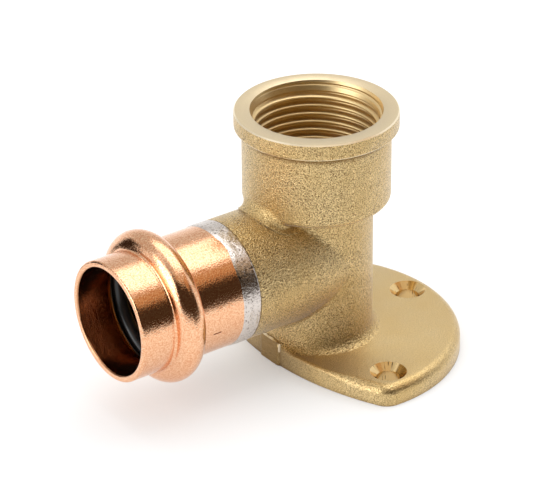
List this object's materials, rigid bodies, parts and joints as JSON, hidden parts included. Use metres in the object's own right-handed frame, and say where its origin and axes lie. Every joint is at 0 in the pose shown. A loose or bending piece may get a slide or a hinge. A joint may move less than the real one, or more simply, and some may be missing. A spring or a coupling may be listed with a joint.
{
  "type": "wall plate elbow",
  "caption": "Cast pipe elbow on a D-shaped wall plate with screw holes, a threaded female port with a rim, and a copper press socket with a bead for its sealing ring.",
  "frame": {"origin": "where the axis of the threaded port meets the back face of the wall plate", "axes": "+Z out of the wall along the threaded port, -X out of the mouth of the press socket"},
  "size_m": [0.0805, 0.06, 0.0535],
  "materials": {
    "cast_brass": "shot-blasted casting with machined faces",
    "copper": "bright drawn copper",
    "braze": "silvery braze, as flowed",
    "ring_rubber": "smooth moulded rubber"
  },
  "bodies": {
    "root": {"cast_body": "cast_brass", "press_socket": "copper", "braze_band": "braze", "sealing_ring": "ring_rubber"}
  },
  "joints": []
}
